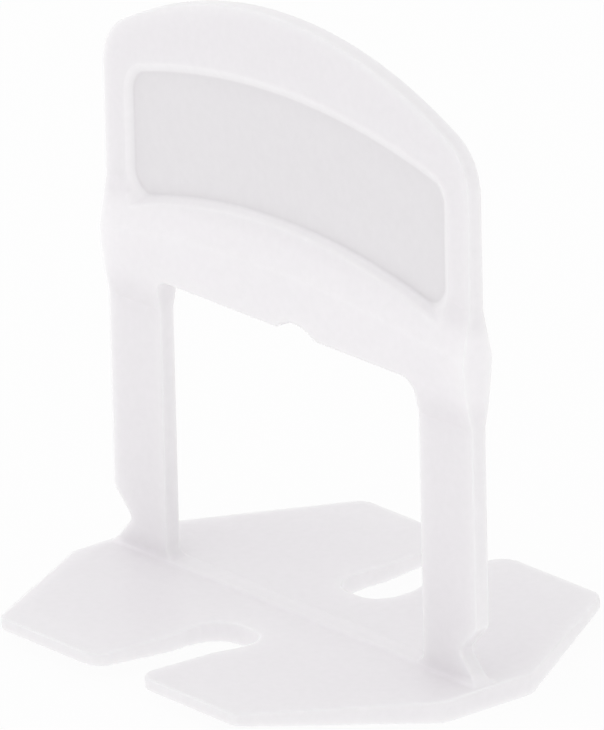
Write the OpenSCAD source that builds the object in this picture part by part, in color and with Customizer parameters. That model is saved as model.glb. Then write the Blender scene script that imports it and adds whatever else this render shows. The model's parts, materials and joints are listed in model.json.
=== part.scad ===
// Tile levelling clip, moulded in one piece.
// X runs along the upright, Y from the front wing to the rear wing, Z up.
// The origin is at the middle of the underside of the base.

/* [Base] */
// How far the base runs past the upright at each end
base_margin = 0.55; // [0.1:0.05:4]
// Depth of the base from the front edge to the rear edge
base_depth = 40; // [34:0.5:48]
// Length of the straight front and rear edges
base_front_edge = 30.8; // [24:0.2:36]
// Length of the short straight edges at the two ends, and width of the flat middle strip
base_end_edge = 9.8; // [6:0.2:11]
// Thickness of the base along its middle strip
base_middle_thickness = 1.95; // [1.4:0.05:3]
// Thickness of the wings at the front and rear edges
base_edge_thickness = 1.1; // [0.7:0.05:1.8]
// Rise of the underside from the middle strip to the front and rear edges
base_edge_lift = 1.3; // [0.4:0.05:2]
// Radius of the four corners at the ends of the base
base_end_radius = 2.5; // [0.5:0.1:4]
// Radius of the four wing tips
base_tip_radius = 1.2; // [0.5:0.1:3]

/* [Base slots] */
// Width of the straight part of each slot
slot_width = 5.3; // [4:0.1:7]
// How far each side of a slot steps back at the wider inner end
slot_flare = 0.45; // [0.1:0.05:1]
// Length of the wider inner end of each slot
slot_end_length = 4; // [3.2:0.1:5]
// Length over which each slot narrows from its inner end
slot_taper_length = 2; // [1:0.1:3]
// Distance from the flat middle strip to the inner end of each slot
slot_margin = 0.9; // [0.3:0.1:3]
// Radius of the corners at the inner end of each slot
slot_end_radius = 2.5; // [0.5:0.1:2.5]
// Radius of the wing corners at the mouth of each slot
slot_mouth_radius = 1.6; // [0.4:0.1:2.5]

/* [Upright] */
// Width of the upright over both legs
upright_width = 46.9; // [42:0.1:54]
// Thickness of the legs and of the rim of the head, which sets the tile joint
upright_thickness = 1.5; // [1:0.1:3]
// Width of each leg
leg_width = 6.85; // [5:0.05:9]
// Height of the flat rim of the head above the middle of the panel
head_rim = 6.05; // [3:0.05:10]
// Width of the flat rim of the head beside the panel
head_side_rim = 2.7; // [1.5:0.1:6]
// Radius of the arched top of the head
head_arch_radius = 44.3; // [36:0.1:80]
// Radius of the two shoulders of the head
head_shoulder_radius = 5; // [2:0.1:7]

/* [Window] */
// Height of the window above the base
window_height = 25.35; // [20:0.05:32]
// Height of the sill between the legs above the base
sill_height = 0.25; // [0.1:0.05:0.6]
// Radius of the upper corners of the window
window_top_radius = 1.6; // [0.4:0.1:3]
// Radius where the legs meet the sill
window_foot_radius = 1; // [0.3:0.1:2]
// Width of the shallow arched notch in the upper edge of the window
notch_width = 4.8; // [3:0.1:8]
// Height of the arched notch
notch_height = 0.9; // [0.5:0.05:1.4]
// Distance of the notch from the middle, to the right
notch_offset = 1.6; // [0:0.1:6]

/* [Break-off necks] */
// Height of the narrowest place of each leg above the base
neck_height = 2.6; // [2:0.1:4]
// Depth of the V cut in the outer edge of each leg
neck_depth = 2.3; // [1:0.1:3.5]
// Height of the V cut above its narrowest place
neck_rise = 2.4; // [1:0.1:4]
// Height of the V cut below its narrowest place
neck_fall = 2.5; // [1:0.1:2.6]
// Radius at the bottom of the V cut
neck_radius = 0.5; // [0.2:0.1:1]
// Radius of the fillet in front of and behind each foot
foot_fillet = 0.7; // [0.3:0.1:1.5]

/* [Crossbar] */
// How far the ridge of the crossbar stands out from each face of the legs
crossbar_swell = 0.95; // [0.4:0.05:2]
// Height of the middle of the ridge above the top of the window
ridge_height = 5.3; // [4:0.1:6.5]
// Radius of the arched ridge
ridge_arch_radius = 120; // [80:1:200]
// Height over which the crossbar thins out above its ridge
crossbar_rise = 4.4; // [3:0.1:5]
// Depth below the ridge at which the crossbar has thinned out on the legs
crossbar_fall = 8.2; // [6.5:0.1:10]

/* [Head panel] */
// Height of the middle of the panel's lower edge above the ridge, at its floor
panel_gap = 3.9; // [3:0.1:5]
// Height of the sunken panel on each face of the head, at its floor
panel_height = 11; // [8:0.1:12]
// Radius of the panel's arched upper and lower edges, at its floor
panel_arch_radius = 71; // [50:1:120]
// Thickness of the web between the panels of the two faces
panel_web = 0.66; // [0.4:0.02:0.9]
// Width of the sloping wall above and beside the panel
panel_slope = 0.85; // [0.4:0.05:1.2]
// Width of the steeper wall below the panel, over the depth of the panel
panel_low_slope = 0.3; // [0.1:0.05:0.6]
// Radius of the panel's corners at its floor
panel_corner_radius = 2; // [0.8:0.1:3]

/* [Hidden] */
$fn = 96;

// Length of cutting shapes beyond the faces that they cut
over = 1;
// Overlap of shapes that are joined into one
lap = over / 10;

half_upright = upright_width / 2;
half_length = half_upright + base_margin;
half_depth = base_depth / 2;
half_front = base_front_edge / 2;
half_end = base_end_edge / 2;
base_edge_top = base_edge_lift + base_edge_thickness;
base_top = base_middle_thickness;

half_slot = slot_width / 2;
half_slot_end = half_slot + slot_flare;
slot_start = half_end + slot_margin;
slot_end = slot_start + slot_end_length;
slot_taper_end = slot_end + slot_taper_length;
slot_end_round = min(slot_end_radius, half_slot_end - lap);

half_window = half_upright - leg_width;
window_sill = base_top + sill_height;
window_top = base_top + window_height;
notch_radius = (pow(notch_width / 2, 2) + pow(notch_height, 2)) / (2 * notch_height);

neck_z = base_top + neck_height;
neck_x = half_upright - neck_depth;

half_thickness = upright_thickness / 2;
ridge_z = window_top + ridge_height;
half_crossbar = half_thickness + crossbar_swell;
crossbar_lens_radius = (pow(crossbar_fall, 2) + pow(crossbar_swell, 2)) / (2 * crossbar_swell);
crossbar_rise_full = crossbar_rise * half_crossbar / crossbar_swell;

half_panel = half_upright - head_side_rim - panel_slope;
panel_low_z = ridge_z + panel_gap;
panel_high_z = panel_low_z + panel_height;
panel_floor = panel_web / 2;
panel_depth = half_thickness - panel_floor;
// The panel's cutter runs out past the crossbar at the slope of the panel's wall
panel_cut_depth = half_crossbar + over - panel_floor;
panel_cut_slope = panel_slope * panel_cut_depth / panel_depth;
panel_low_cut_slope = panel_low_slope * panel_cut_depth / panel_depth;

upright_height = panel_high_z + panel_slope + head_rim;
head_arch_z = upright_height - head_arch_radius;
shoulder_x = half_upright - head_shoulder_radius;
shoulder_reach = head_arch_radius - head_shoulder_radius;
shoulder_z = head_arch_z + sqrt(pow(shoulder_reach, 2) - pow(shoulder_x, 2));
shoulder_angle = acos(shoulder_x / shoulder_reach);

// Unit vector along v
function unit(v) = v / norm(v);

// Signed turn at point b on the way from a to c
function turn(a, b, c) = (b[0] - a[0]) * (c[1] - b[1]) - (b[1] - a[1]) * (c[0] - b[0]);

// Distance from a corner of half angle h to where a round of radius r leaves its sides
function tangent_length(r, h) = r / tan(h);

// One corner's wedge between its sides and its round; outward moves its tip past the corner
module corner_wedge(a, b, c, r, outward) {
    u = unit(a - b);
    v = unit(c - b);
    h = acos(u * v) / 2;
    t = tangent_length(r, h);
    middle = b + unit(u + v) * r / sin(h);
    tip = b - unit(u + v) * outward;
    difference() {
        polygon([b + u * t, tip, b + v * t, middle]);
        translate(middle) circle(r);
    }
}

// Closed outline with anticlockwise corners [x, y, radius], each rounded by its own radius
module rounded_outline(corners) {
    n = len(corners);
    points = [for (k = corners) [k[0], k[1]]];
    difference() {
        union() {
            polygon(points);
            for (i = [0:n - 1]) {
                a = points[(i + n - 1) % n];
                b = points[i];
                c = points[(i + 1) % n];
                if (turn(a, b, c) < 0) corner_wedge(a, b, c, corners[i][2], lap);
            }
        }
        for (i = [0:n - 1]) {
            a = points[(i + n - 1) % n];
            b = points[i];
            c = points[(i + 1) % n];
            if (turn(a, b, c) > 0) corner_wedge(a, b, c, corners[i][2], over);
        }
    }
}

// Turns a drawing in X and Z into a plate of thickness t, centred on Y = 0
module plate_xz(t) {
    rotate([90, 0, 0]) linear_extrude(t, center = true) children();
}

// Runs a section drawn in Y and Z along X for length l, centred on X = 0
module run_along_x(l) {
    rotate([90, 0, 90]) linear_extrude(l, center = true) children();
}

// Plan of the base, with its open slots
module base_plan() {
    m = slot_mouth_radius;
    e = slot_end_round;
    front = [
        [-half_length, -half_end, base_end_radius],
        [-half_front, -half_depth, base_tip_radius],
        [-half_slot, -half_depth, m],
        [-half_slot, -slot_taper_end, e],
        [-half_slot_end, -slot_end, e],
        [-half_slot_end, -slot_start, e],
        [half_slot_end, -slot_start, e],
        [half_slot_end, -slot_end, e],
        [half_slot, -slot_taper_end, e],
        [half_slot, -half_depth, m],
        [half_front, -half_depth, base_tip_radius],
        [half_length, -half_end, base_end_radius]
    ];
    // The rear half is the front half turned about the middle
    rear = [for (k = front) [-k[0], -k[1], k[2]]];
    rounded_outline(concat(front, rear));
}

// Section of the base across the upright: a flat strip with thinner wings that rise
module base_section() {
    polygon([
        [-half_depth, base_edge_lift],
        [-half_end, 0],
        [half_end, 0],
        [half_depth, base_edge_lift],
        [half_depth, base_edge_top],
        [half_end, base_top],
        [-half_end, base_top],
        [-half_depth, base_edge_top]
    ]);
}

module base() {
    intersection() {
        translate([0, 0, -over]) linear_extrude(base_top + base_edge_top + 2 * over) base_plan();
        run_along_x(2 * (half_length + over)) base_section();
    }
}

// Outline of the upright with an arched top and round shoulders
module upright_outline() {
    fan = head_arch_radius + over;
    translate([-half_upright, base_top / 2]) square([upright_width, shoulder_z - base_top / 2]);
    for (side = [-1, 1]) translate([side * shoulder_x, shoulder_z]) circle(head_shoulder_radius);
    intersection() {
        translate([0, head_arch_z]) circle(head_arch_radius, $fn = 360);
        translate([0, head_arch_z]) polygon([
            [0, 0],
            fan * [cos(shoulder_angle), sin(shoulder_angle)],
            fan * [cos(shoulder_angle), 1],
            fan * [-cos(shoulder_angle), 1],
            fan * [-cos(shoulder_angle), sin(shoulder_angle)]
        ]);
    }
}

// Window between the legs, with the arched notch in its upper edge
module window_outline() {
    t = window_top_radius;
    f = window_foot_radius;
    rounded_outline([
        [-half_window, window_sill, f],
        [half_window, window_sill, f],
        [half_window, window_top, t],
        [-half_window, window_top, t]
    ]);
    translate([notch_offset, window_top + notch_height - notch_radius]) circle(notch_radius);
}

// V cut in the outer edge of the right leg
module neck_outline() {
    reach = (neck_depth + over) / neck_depth;
    bottom = [neck_x, neck_z];
    low = bottom + reach * [neck_depth, -neck_fall];
    high = bottom + reach * [neck_depth, neck_rise];
    difference() {
        polygon([bottom, low, high]);
        corner_wedge(high, bottom, low, neck_radius, over);
    }
}

// Crossbar: a lens along X whose upper side thins out above an arched ridge
module crossbar() {
    inner = ridge_arch_radius - crossbar_fall * 2;
    intersection() {
        run_along_x(upright_width) intersection_for(side = [-1, 1]) {
            translate([side * (half_crossbar - crossbar_lens_radius), ridge_z])
                circle(crossbar_lens_radius, $fn = 360);
        }
        translate([0, 0, ridge_z - ridge_arch_radius]) rotate([90, 0, 0])
            rotate_extrude($fn = 360) polygon([
                [inner, -half_crossbar],
                [ridge_arch_radius, -half_crossbar],
                [ridge_arch_radius + crossbar_rise_full, 0],
                [ridge_arch_radius, half_crossbar],
                [inner, half_crossbar]
            ]);
    }
}

// Cone along Y at a place in X and Z, with radius r at the panel's floor and the slope of its wall
module panel_cone(place, r, slope) {
    spread = slope / panel_cut_depth;
    translate([place[0], -panel_floor + lap, place[1]]) rotate([90, 0, 0])
        cylinder(h = panel_cut_depth + 2 * lap, r1 = r - spread * lap,
                 r2 = r + spread * (panel_cut_depth + lap), $fn = 360);
}

// What a round corner of the panel leaves standing between two directions from its centre
module panel_corner_fill(centre, across, along) {
    far = panel_corner_radius + panel_cut_slope + over;
    difference() {
        translate([0, -panel_floor + lap, 0]) rotate([90, 0, 0])
            linear_extrude(panel_cut_depth + 2 * lap) polygon([
                centre,
                centre + far * across,
                centre + 2 * far * unit(across + along),
                centre + far * along
            ]);
        panel_cone(centre, panel_corner_radius, panel_cut_slope);
    }
}

// Cutter for the sunken panel in the front face, with sloping walls and round corners
module panel_cutter() {
    wide = half_panel + panel_cut_slope;
    corner_x = half_panel - panel_corner_radius;
    high_centre = [0, panel_high_z - panel_arch_radius];
    low_centre = [0, panel_low_z - panel_arch_radius];
    high_reach = panel_arch_radius - panel_corner_radius;
    low_reach = panel_arch_radius + panel_corner_radius;
    high_corner = [corner_x, high_centre[1] + sqrt(pow(high_reach, 2) - pow(corner_x, 2))];
    low_corner = [corner_x, low_centre[1] + sqrt(pow(low_reach, 2) - pow(corner_x, 2))];
    difference() {
        linear_extrude(upright_height) polygon([
            [-half_panel, -panel_floor],
            [-wide, -panel_floor - panel_cut_depth],
            [wide, -panel_floor - panel_cut_depth],
            [half_panel, -panel_floor]
        ]);
        // Above the arched upper wall
        difference() {
            translate([-upright_width, -panel_floor - panel_cut_depth - over, 0])
                cube([2 * upright_width, panel_cut_depth + 2 * over, upright_height + over]);
            panel_cone(high_centre, panel_arch_radius, panel_cut_slope);
        }
        // Below the arched lower wall
        panel_cone(low_centre, panel_arch_radius, -panel_low_cut_slope);
        for (side = [0, 1]) mirror([side, 0, 0]) {
            panel_corner_fill(high_corner, [1, 0], unit(high_corner - high_centre));
            panel_corner_fill(low_corner, [1, 0], unit(low_centre - low_corner));
        }
    }
}

// Fillets where the front and rear of the upright meet the base
module foot_fillets() {
    run_along_x(upright_width) for (side = [0, 1]) mirror([side, 0]) difference() {
        translate([half_thickness - lap, base_top - lap]) square(foot_fillet + lap);
        translate([half_thickness + foot_fillet, base_top + foot_fillet]) circle(foot_fillet);
    }
}

// Upright: head, crossbar, legs and sill
module upright() {
    cut = 2 * (half_crossbar + over);
    difference() {
        union() {
            plate_xz(upright_thickness) upright_outline();
            crossbar();
            foot_fillets();
        }
        plate_xz(cut) window_outline();
        for (side = [0, 1]) mirror([side, 0, 0]) plate_xz(cut) neck_outline();
        for (side = [0, 1]) mirror([0, side, 0]) panel_cutter();
    }
}

module clip() {
    color("white") {
        base();
        upright();
    }
}

clip();
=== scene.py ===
"""Studio picture of a moulded tile levelling clip.

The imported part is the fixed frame. Its one node is shown by a soft-edged copy of the same form, because a
moulded edge is never knife-sharp. The copy is dressed as natural, milky polypropylene on a pale floor.
"""

import json
import logging
import math
from collections.abc import Sequence
from dataclasses import dataclass, field
from enum import Enum

import bmesh
import bpy
import numpy as np
from mathutils import Matrix, Vector
from mathutils.bvhtree import BVHTree
from mathutils.kdtree import KDTree

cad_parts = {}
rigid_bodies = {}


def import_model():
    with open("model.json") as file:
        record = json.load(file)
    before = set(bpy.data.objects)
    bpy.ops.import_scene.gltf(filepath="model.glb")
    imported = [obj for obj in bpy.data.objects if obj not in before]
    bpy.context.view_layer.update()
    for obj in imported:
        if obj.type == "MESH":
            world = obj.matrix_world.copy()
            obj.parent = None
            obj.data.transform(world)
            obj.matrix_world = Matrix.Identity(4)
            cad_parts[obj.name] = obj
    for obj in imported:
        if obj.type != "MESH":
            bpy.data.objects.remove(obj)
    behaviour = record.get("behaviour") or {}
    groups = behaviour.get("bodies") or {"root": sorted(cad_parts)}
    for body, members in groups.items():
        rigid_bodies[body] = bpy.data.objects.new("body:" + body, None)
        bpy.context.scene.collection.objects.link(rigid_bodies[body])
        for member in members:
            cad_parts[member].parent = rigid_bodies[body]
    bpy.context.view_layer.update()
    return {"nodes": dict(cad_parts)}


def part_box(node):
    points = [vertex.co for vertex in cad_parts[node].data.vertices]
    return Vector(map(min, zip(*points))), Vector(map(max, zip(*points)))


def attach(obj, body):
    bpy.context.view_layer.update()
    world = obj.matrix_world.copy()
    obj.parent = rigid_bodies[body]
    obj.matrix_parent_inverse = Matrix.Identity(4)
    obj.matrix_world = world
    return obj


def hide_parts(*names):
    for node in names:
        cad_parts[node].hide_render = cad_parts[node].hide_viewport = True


MM = 0.001
NODE = "clip"
BODY = "root"

Colour = tuple[float, float, float]
WHITE: Colour = (1.0, 1.0, 1.0)
BLACK: Colour = (0.0, 0.0, 0.0)

log = logging.getLogger("clip")


class Ray(Enum):
    """Kinds of light ray that see the surroundings as plain white."""

    CAMERA = "Is Camera Ray"
    GLOSSY = "Is Glossy Ray"
    TRANSMISSION = "Is Transmission Ray"


class Mark(Enum):
    """Values that the clip's mesh holds at each vertex for its colour, which paint light and shade into it.
    """

    # thickness sets the painted light and shade of the colour
    THICKNESS = "thickness"
    # share of painted highlight on the slopes beside hollow creases
    CREASE = "crease"


def between(value: float, low: float, high: float) -> float:
    """Gives where a value lies between two others.

    Args:
        value: Value to place.
        low: Value that gives 0.
        high: Value that gives 1. It may be the smaller of the two.

    Returns:
        Share from 0 to 1.
    """
    return min(max((value - low) / (high - low), 0.0), 1.0)


@dataclass
class Wiring:
    """A node tree with short ways to add and link its nodes."""

    tree: bpy.types.NodeTree

    def node(self, kind: str, **settings: object) -> bpy.types.Node:
        """Adds a node.

        Args:
            kind: Name of the node's type, without its ShaderNode prefix.
            settings: Properties of the node.

        Returns:
            The new node.
        """
        made = self.tree.nodes.new("ShaderNode" + kind)
        for name, value in settings.items():
            setattr(made, name, value)
        return made

    def feed(self, target: bpy.types.NodeSocket, value: object) -> None:
        """Links a socket to another one, or sets its own value.

        Args:
            target: Input socket.
            value: Output socket to link, or a plain number or colour.
        """
        if isinstance(value, bpy.types.NodeSocket):
            self.tree.links.new(value, target)
        elif target.type == "RGBA":
            target.default_value = (*value, 1.0)
        else:
            target.default_value = value

    def math(self, operation: str, *values: object, clamp: bool = False) -> bpy.types.NodeSocket:
        """Adds a Math node.

        Args:
            operation: Blender's name of the operation.
            values: Numbers or sockets, in the order of the node's inputs.
            clamp: Whether the result stays between 0 and 1.

        Returns:
            The result's socket.
        """
        made = self.node("Math", operation=operation, use_clamp=clamp)
        for target, value in zip(made.inputs, values):
            self.feed(target, value)
        return made.outputs["Value"]

    def ramp(self, value: object, start: float, end: float) -> bpy.types.NodeSocket:
        """Leads smoothly from one number to another while a value goes from 0 to 1.

        Args:
            value: Number or socket that leads.
            start: Result at 0 and below.
            end: Result at 1 and above.

        Returns:
            The result's socket.
        """
        made = self.node("MapRange", interpolation_type="SMOOTHSTEP", clamp=True)
        self.feed(made.inputs["Value"], value)
        self.feed(made.inputs["To Min"], start)
        self.feed(made.inputs["To Max"], end)
        return made.outputs["Result"]

    def tones(self, value: object, stops: Sequence[tuple[float, Colour]]) -> bpy.types.NodeSocket:
        """Turns a value into a colour.

        Args:
            value: Number or socket from 0 to 1.
            stops: Values in rising order, each with its colour.

        Returns:
            The colour's socket.
        """
        made = self.node("ValToRGB")
        elements = made.color_ramp.elements
        elements.remove(elements[-1])
        first_place, first_colour = stops[0]
        elements[0].position = first_place
        elements[0].color = (*first_colour, 1.0)
        for place, colour in stops[1:]:
            elements.new(place).color = (*colour, 1.0)
        self.feed(made.inputs["Fac"], value)
        return made.outputs["Color"]

    def mix(self, share: object, first: object, second: object) -> bpy.types.NodeSocket:
        """Mixes two colours.

        Args:
            share: How much of the second colour shows.
            first: First colour.
            second: Second colour.

        Returns:
            The mixed colour's socket.
        """
        made = self.node("Mix", data_type="RGBA")
        self.feed(made.inputs["Factor"], share)
        colours = [socket for socket in made.inputs if socket.type == "RGBA"]
        for target, colour in zip(colours, (first, second)):
            self.feed(target, colour)
        return next(socket for socket in made.outputs if socket.type == "RGBA")

    def noise(self, place: bpy.types.NodeSocket, grain: float, detail: float) -> bpy.types.NodeSocket:
        """Adds cloudy noise.

        Args:
            place: Coordinates in metres.
            grain: Size of a cloud in metres.
            detail: Finer layers on top of the first.

        Returns:
            Socket of a value about one half.
        """
        made = self.node("TexNoise")
        self.feed(made.inputs["Vector"], place)
        self.feed(made.inputs["Scale"], 1 / grain)
        self.feed(made.inputs["Detail"], detail)
        return made.outputs["Fac"]

    def mark(self, mark: Mark) -> bpy.types.NodeSocket:
        """Reads a value that the mesh holds at each vertex."""
        return self.node("Attribute", attribute_name=mark.value).outputs["Fac"]

    def sees_white(self) -> bpy.types.NodeSocket:
        """Gives 1 for the rays that see the surroundings as plain white, and 0 for the rest."""
        path = self.node("LightPath")
        total: object = 0.0
        for kind in Ray:
            total = self.math("ADD", path.outputs[kind.value], total, clamp=True)
        return total


@dataclass(frozen=True)
class MilkyPlastic:
    """Natural polypropylene with a satin moulded skin; its colour holds painted light and shade.

    The tones give its colour at each thickness: whiter where it is thick and greyer where it is thin, which
    is painted light and painted shade for the light that thick plastic scatters back and thin plastic lets
    through.
    The slopes at its creases get a painted highlight.
    """

    # Colours by thickness: painted light where thick, painted shade where thin, for scattered and
    # passed-through light.
    tones: tuple[tuple[float, Colour], ...] = (
        (0.66 * MM, (0.710, 0.692, 0.710)),
        (1.2 * MM, (0.825, 0.807, 0.825)),
        (2.0 * MM, (0.844, 0.826, 0.844)),
        (2.6 * MM, (0.895, 0.877, 0.895)),
        (3.4 * MM, (0.915, 0.897, 0.915)),
    )
    # Painted highlight: colour and share mixed in on the slopes beside hollow creases.
    painted_highlight_colour: Colour = (0.93, 0.915, 0.93)
    painted_highlight_share: float = 0.42
    haze: float = 0.05
    haze_grain: float = 0.7 * MM
    haze_detail: float = 3.0
    skin_height: float = 0.004 * MM
    skin_grain: float = 0.25 * MM
    skin_detail: float = 2.0
    roughness: float = 0.38
    ior: float = 1.49
    scattering: float = 1.0
    scatter_reach: float = 2.0 * MM

    def make(self) -> bpy.types.Material:
        """Makes the material.

        Returns:
            Material with its nodes wired.
        """
        material = bpy.data.materials.new("milky_plastic")
        material.use_nodes = True
        wiring = Wiring(material.node_tree)
        place = wiring.node("TexCoord").outputs["Object"]
        bump = wiring.node("Bump")
        wiring.feed(bump.inputs["Height"], wiring.noise(place, self.skin_grain, self.skin_detail))
        wiring.feed(bump.inputs["Distance"], self.skin_height)
        values = {
            "Base Color": self._colour(wiring, place),
            "Roughness": self.roughness,
            "IOR": self.ior,
            "Subsurface Weight": self.scattering,
            "Subsurface Radius": WHITE,
            "Subsurface Scale": self.scatter_reach,
            "Normal": bump.outputs["Normal"],
        }
        shader = material.node_tree.nodes["Principled BSDF"]
        for name, value in values.items():
            wiring.feed(shader.inputs[name], value)
        return material

    def _colour(self, wiring: Wiring, place: bpy.types.NodeSocket) -> bpy.types.NodeSocket:
        """Wires the colour of the plastic, with painted light and shade by thickness and a painted highlight
        at creases.

        Args:
            wiring: Node tree of the material.
            place: Coordinates in metres.

        Returns:
            The colour's socket.
        """
        # Painted light and shade: the colour grows whiter with the plastic's thickness.
        thickest = self.tones[-1][0]
        share = wiring.math("DIVIDE", wiring.mark(Mark.THICKNESS), thickest)
        tone = wiring.tones(share, [(thick / thickest, colour) for thick, colour in self.tones])
        # Painted highlight on crease slopes, mixed into the colour.
        light = wiring.math("MULTIPLY", wiring.mark(Mark.CREASE), self.painted_highlight_share)
        clear = wiring.mix(light, tone, self.painted_highlight_colour)
        cloud = wiring.noise(place, self.haze_grain, self.haze_detail)
        return wiring.mix(wiring.math("MULTIPLY", cloud, self.haze), clear, BLACK)


@dataclass(frozen=True)
class StudioWhite:
    """Plain white of the floor: a light table, whose own glow leaves a faint shadow of the part on it."""

    colour: Colour = (0.95, 0.95, 0.95)
    glow: float = 0.90

    def make(self) -> bpy.types.Material:
        """Makes the material.

        Returns:
            Material with its nodes wired.
        """
        material = bpy.data.materials.new("studio_white")
        material.use_nodes = True
        wiring = Wiring(material.node_tree)
        nodes = material.node_tree.nodes
        nodes.remove(nodes["Principled BSDF"])
        matt = wiring.node("BsdfDiffuse")
        wiring.feed(matt.inputs["Color"], self.colour)
        light = wiring.node("Emission")
        wiring.feed(light.inputs["Color"], WHITE)
        both = wiring.node("MixShader")
        for target, value in zip(both.inputs, (self.glow, matt.outputs["BSDF"], light.outputs["Emission"])):
            wiring.feed(target, value)
        wiring.feed(nodes["Material Output"].inputs["Surface"], both.outputs["Shader"])
        return material


@dataclass
class TrueFaces:
    """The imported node's triangles, which hold the normals of its true curved faces."""

    mesh: bpy.types.Mesh
    places: list[Vector] = field(init=False)
    corners: list[tuple[int, ...]] = field(init=False)
    loops: list[tuple[int, ...]] = field(init=False)
    normals: list[Vector] = field(init=False)
    tree: BVHTree = field(init=False)

    def __post_init__(self) -> None:
        """Reads the triangles."""
        self.places = [vertex.co.copy() for vertex in self.mesh.vertices]
        self.corners = [tuple(face.vertices) for face in self.mesh.polygons]
        self.loops = [tuple(face.loop_indices) for face in self.mesh.polygons]
        self.normals = [Vector(normal.vector) for normal in self.mesh.corner_normals]
        self.tree = BVHTree.FromPolygons(self.places, self.corners)

    def normal_at(self, place: Vector) -> Vector:
        """Gives the true normal at the nearest point of the faces.

        Args:
            place: Point near the surface.

        Returns:
            Unit normal.
        """
        near, flat, index, _ = self.tree.find_nearest(place)
        a, b, c = (self.places[corner] for corner in self.corners[index])
        area = (b - a).cross(c - a).dot(flat)
        if area <= 0:
            return flat
        share_b = (near - a).cross(c - a).dot(flat) / area
        share_c = (b - a).cross(near - a).dot(flat) / area
        first, second, third = (self.normals[loop] for loop in self.loops[index])
        return (first * (1 - share_b - share_c) + second * share_b + third * share_c).normalized()


@dataclass
class ClipBody:
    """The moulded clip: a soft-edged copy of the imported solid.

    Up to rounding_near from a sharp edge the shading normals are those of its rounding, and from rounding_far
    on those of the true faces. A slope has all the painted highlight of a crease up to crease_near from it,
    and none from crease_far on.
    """

    source: bpy.types.Object
    weld: float = 0.002 * MM
    voxel: float = 0.10 * MM
    smoothing: int = 12
    smoothing_factor: float = 0.5
    triangles: int = 120_000
    sharp_angle: float = math.radians(20)
    rounding_near: float = 0.12 * MM
    rounding_far: float = 0.40 * MM
    crease_near: float = 0.9 * MM
    crease_far: float = 1.3 * MM
    full_tilt: float = 0.06
    inset: float = 0.1 * MM
    thickest: float = 8.0 * MM
    base_top: float = 2.0 * MM
    upright_reach: float = 2.5 * MM
    piece: bpy.types.Object = field(init=False)

    def build(self) -> None:
        """Builds the soft-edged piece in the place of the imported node."""
        closed = self._closed_copy()
        self.piece = self._soft_copy(closed)
        normals = self._shading_normals(closed)
        self.piece.data.shade_smooth()
        self.piece.data.normals_split_custom_set_from_vertices(normals)
        self._set_mark(Mark.THICKNESS, self._thicknesses(closed, normals))
        # share of painted highlight on the slopes beside hollow creases
        self._set_mark(Mark.CREASE, self._painted_highlights(closed, normals))
        bpy.data.meshes.remove(closed)
        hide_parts(NODE)
        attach(self.piece, BODY)
        log.info("clip body: %d faces", len(self.piece.data.polygons))

    def dress(self, finish: MilkyPlastic) -> None:
        """Gives the piece its finish.

        Args:
            finish: Finish of the whole moulding.
        """
        self.piece.data.materials.clear()
        self.piece.data.materials.append(finish.make())

    def _closed_copy(self) -> bpy.types.Mesh:
        """Copies the node's mesh with its seams welded shut.

        Returns:
            Closed mesh of triangles.
        """
        shape = bmesh.new()
        shape.from_mesh(self.source.data)
        bmesh.ops.remove_doubles(shape, verts=shape.verts, dist=self.weld)
        closed = bpy.data.meshes.new("clip_closed")
        shape.to_mesh(closed)
        shape.free()
        return closed

    def _soft_copy(self, closed: bpy.types.Mesh) -> bpy.types.Object:
        """Rounds every edge a little by a fine remesh that is smoothed and thinned out.

        Args:
            closed: Closed mesh with sharp edges.

        Returns:
            New object that holds the soft-edged mesh.
        """
        piece = bpy.data.objects.new("clip_body", closed)
        bpy.context.scene.collection.objects.link(piece)
        remesh = piece.modifiers.new("fine_grid", "REMESH")
        remesh.mode = "VOXEL"
        remesh.voxel_size = self.voxel
        smooth = piece.modifiers.new("soft_edges", "SMOOTH")
        smooth.factor = self.smoothing_factor
        smooth.iterations = self.smoothing
        fine = self._evaluated(piece)
        fine_triangles = 2 * len(fine.polygons)
        bpy.data.meshes.remove(fine)
        thin_out = piece.modifiers.new("fewer_faces", "DECIMATE")
        thin_out.ratio = self.triangles / fine_triangles
        thin_out.use_collapse_triangulate = True
        soft = self._evaluated(piece)
        piece.modifiers.clear()
        piece.data = soft
        soft.name = "clip_body"
        return piece

    @staticmethod
    def _evaluated(piece: bpy.types.Object) -> bpy.types.Mesh:
        """Gives the mesh of an object with its modifiers applied.

        Args:
            piece: Object with modifiers.

        Returns:
            New mesh.
        """
        graph = bpy.context.evaluated_depsgraph_get()
        return bpy.data.meshes.new_from_object(piece.evaluated_get(graph))

    def _sharp_points(self, closed: bpy.types.Mesh, hollow_only: bool) -> KDTree:
        """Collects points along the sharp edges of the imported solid.

        Args:
            closed: Closed mesh with sharp edges.
            hollow_only: Whether only the hollow edges count, where two faces meet in a crease.

        Returns:
            Tree of the points.
        """
        shape = bmesh.new()
        shape.from_mesh(closed)
        points: list[Vector] = []
        for edge in shape.edges:
            angle = edge.calc_face_angle_signed()
            if -angle > self.sharp_angle or (angle > self.sharp_angle and not hollow_only):
                start, end = (vertex.co for vertex in edge.verts)
                steps = max(1, math.ceil(edge.calc_length() / self.voxel))
                points.extend(start.lerp(end, step / steps) for step in range(steps + 1))
        shape.free()
        tree = KDTree(len(points))
        for index, point in enumerate(points):
            tree.insert(point, index)
        tree.balance()
        return tree

    def _shading_normals(self, closed: bpy.types.Mesh) -> list[Vector]:
        """Works out the shading normals: those of the true faces, and at the edges those of the rounding.

        Args:
            closed: Closed mesh with sharp edges.

        Returns:
            Normal at each vertex of the piece.
        """
        sharp = self._sharp_points(closed, hollow_only=False)
        faces = TrueFaces(self.source.data)
        normals: list[Vector] = []
        for vertex in self.piece.data.vertices:
            normal = vertex.normal.copy()
            share = between(sharp.find(vertex.co)[2], self.rounding_near, self.rounding_far)
            if share > 0:
                normal = normal.lerp(faces.normal_at(vertex.co), share).normalized()
            normals.append(normal)
        return normals

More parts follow.
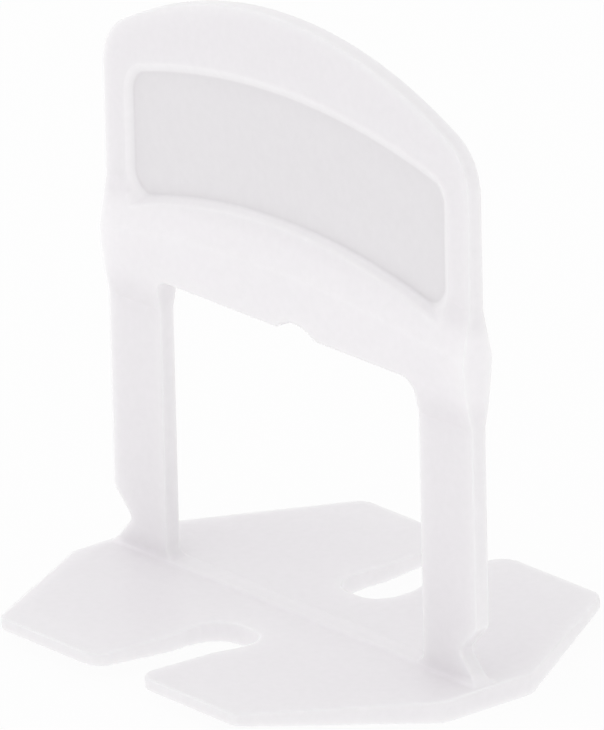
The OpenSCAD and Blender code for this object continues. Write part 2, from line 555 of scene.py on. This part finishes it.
    def _thicknesses(self, closed: bpy.types.Mesh, normals: Sequence[Vector]) -> list[float]:
        """Measures the plastic under each vertex, across the upright or down through the base, for painted
        light and shade.

        Args:
            closed: Closed mesh with sharp edges.
            normals: Normal at each vertex of the piece.

        Returns:
            Thickness in metres at each vertex of the piece.
        """
        places = [vertex.co for vertex in closed.vertices]
        solid = BVHTree.FromPolygons(places, [tuple(face.vertices) for face in closed.polygons])
        across = Vector((0, 1, 0))
        down = Vector((0, 0, -1))
        thicknesses: list[float] = []
        for vertex, normal in zip(self.piece.data.vertices, normals):
            inside = vertex.co - normal * self.inset
            in_upright = inside.z > self.base_top and abs(inside.y) < self.upright_reach
            axis = across if in_upright else down
            ahead = solid.ray_cast(inside, axis, self.thickest)[3]
            behind = solid.ray_cast(inside, -axis, self.thickest)[3]
            met = ahead is not None and behind is not None
            thicknesses.append(ahead + behind if met else self.thickest)
        return thicknesses

    def _painted_highlights(self, closed: bpy.types.Mesh, normals: Sequence[Vector]) -> list[float]:
        """Finds the slopes in the creases of the form, which get a painted highlight.

        Args:
            closed: Closed mesh with sharp edges.
            normals: Normal at each vertex of the piece.

        Returns:
            Share of painted highlight from 0 to 1 at each vertex of the piece.
        """
        hollow = self._sharp_points(closed, hollow_only=True)
        creases: list[float] = []
        for vertex, normal in zip(self.piece.data.vertices, normals):
            # painted highlight: full near a hollow edge, fading out, and only on tilted slopes
            creased = between(hollow.find(vertex.co)[2], self.crease_far, self.crease_near)
            tilt = 1 - max(abs(part) for part in normal)
            creases.append(creased * min(tilt / self.full_tilt, 1.0))
        return creases

    def _set_mark(self, mark: Mark, values: Sequence[float]) -> None:
        """Stores a value at each vertex of the piece.

        Args:
            mark: What the values are.
            values: Value at each vertex.
        """
        layer = self.piece.data.attributes.new(mark.value, "FLOAT", "POINT")
        layer.data.foreach_set("value", np.array(values, np.float32))


@dataclass(frozen=True)
class Lamp:
    """One softbox that looks at the clip."""

    name: str
    place: tuple[float, float, float]
    size: tuple[float, float]
    power: float

    def build(self, target: Vector) -> None:
        """Hangs the lamp.

        Args:
            target: Point that the lamp faces.
        """
        data = bpy.data.lights.new(self.name, "AREA")
        data.shape = "RECTANGLE"
        data.size, data.size_y = self.size
        data.energy = self.power
        lamp = bpy.data.objects.new(self.name, data)
        lamp.location = self.place
        lamp.rotation_euler = (target - lamp.location).to_track_quat("-Z", "Y").to_euler()
        lamp.visible_glossy = False
        bpy.context.scene.collection.objects.link(lamp)
        log.info("lamp: %s", self.name)


@dataclass
class Studio:
    """Pale floor, white surroundings and soft lamps.

    The surroundings light the clip a little less than white, from the horizon up to the zenith.
    """

    floor_half: float = 8.0
    floor_drop: float = 0.02 * MM
    horizon: float = 0.88
    zenith: float = 0.82
    lamps: tuple[Lamp, ...] = (
        Lamp("front_softbox", (-0.20, -0.80, 0.22), (0.80, 0.50), 0.20),
        Lamp("top_softbox", (-0.10, -0.20, 0.80), (0.60, 0.60), 0.40),
        Lamp("left_softbox", (-0.90, 0.10, 0.25), (0.70, 0.50), 0.90),
    )

    def build(self, target: Vector) -> None:
        """Lays the floor, whitens the surroundings and hangs the lamps.

        Args:
            target: Point that the lamps face.
        """
        self._lay_floor()
        self._whiten_world()
        for lamp in self.lamps:
            lamp.build(target)

    def _lay_floor(self) -> None:
        """Lays the floor just under the clip."""
        mesh = bpy.data.meshes.new("floor")
        half = self.floor_half
        corners = [(-half, -half, 0), (half, -half, 0), (half, half, 0), (-half, half, 0)]
        mesh.from_pydata(corners, [], [(0, 1, 2, 3)])
        floor = bpy.data.objects.new("floor", mesh)
        floor.location.z = -self.floor_drop
        bpy.context.scene.collection.objects.link(floor)
        mesh.materials.append(StudioWhite().make())
        log.info("floor")

    def _whiten_world(self) -> None:
        """Lights the scene evenly, and shows plain white behind the floor."""
        world = bpy.data.worlds.new("studio")
        world.use_nodes = True
        bpy.context.scene.world = world
        wiring = Wiring(world.node_tree)
        background = world.node_tree.nodes["Background"]
        wiring.feed(background.inputs["Color"], WHITE)
        direction = wiring.node("SeparateXYZ")
        wiring.feed(direction.inputs["Vector"], wiring.node("TexCoord").outputs["Generated"])
        sky = wiring.ramp(direction.outputs["Z"], self.horizon, self.zenith)
        lights = wiring.math("SUBTRACT", 1.0, wiring.sees_white())
        strength = wiring.math("MULTIPLY_ADD", lights, wiring.math("SUBTRACT", sky, 1.0), 1.0)
        wiring.feed(background.inputs["Strength"], strength)
        log.info("surroundings")


@dataclass(frozen=True)
class PhotoCamera:
    """Camera at the viewing angle of the photograph, worked out from the edges of the clip."""

    azimuth: float = math.radians(50.264)
    elevation: float = math.radians(20.325)
    roll: float = math.radians(-1.300)
    distance: float = 1329.84 * MM
    target_right: float = 0.572 * MM
    target_height: float = 23.81 * MM
    focal_pixels: float = 16000.0
    frame_height: int = 730
    sensor: float = 36.0

    def build(self) -> None:
        """Sets up the camera."""
        turn, lift = self.azimuth, self.elevation
        back = Vector((math.sin(turn) * math.cos(lift), -math.cos(turn) * math.cos(lift), math.sin(lift)))
        right = Vector((math.cos(turn), math.sin(turn), 0.0))
        up = back.cross(right)
        cosine, sine = math.cos(self.roll), math.sin(self.roll)
        across = right * cosine + up * sine
        upright = up * cosine - right * sine
        data = bpy.data.cameras.new("photo_camera")
        data.sensor_width = self.sensor
        data.lens = self.focal_pixels * self.sensor / self.frame_height
        camera = bpy.data.objects.new("photo_camera", data)
        place = right * self.target_right + Vector((0, 0, self.target_height)) + back * self.distance
        axes = Matrix((across, upright, back)).transposed().to_4x4()
        camera.matrix_world = Matrix.Translation(place) @ axes
        bpy.context.scene.collection.objects.link(camera)
        bpy.context.scene.camera = camera
        log.info("camera: %.0f mm lens", data.lens)


def main() -> None:
    """Loads the frame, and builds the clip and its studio."""
    logging.basicConfig(level=logging.INFO, format="%(message)s")
    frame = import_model()
    PhotoCamera().build()
    clip = ClipBody(frame["nodes"][NODE])
    clip.build()
    clip.dress(MilkyPlastic())
    low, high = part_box(NODE)
    Studio().build((low + high) / 2)
    bpy.context.scene.view_settings.view_transform = "Standard"


if __name__ == "__main__":
    main()
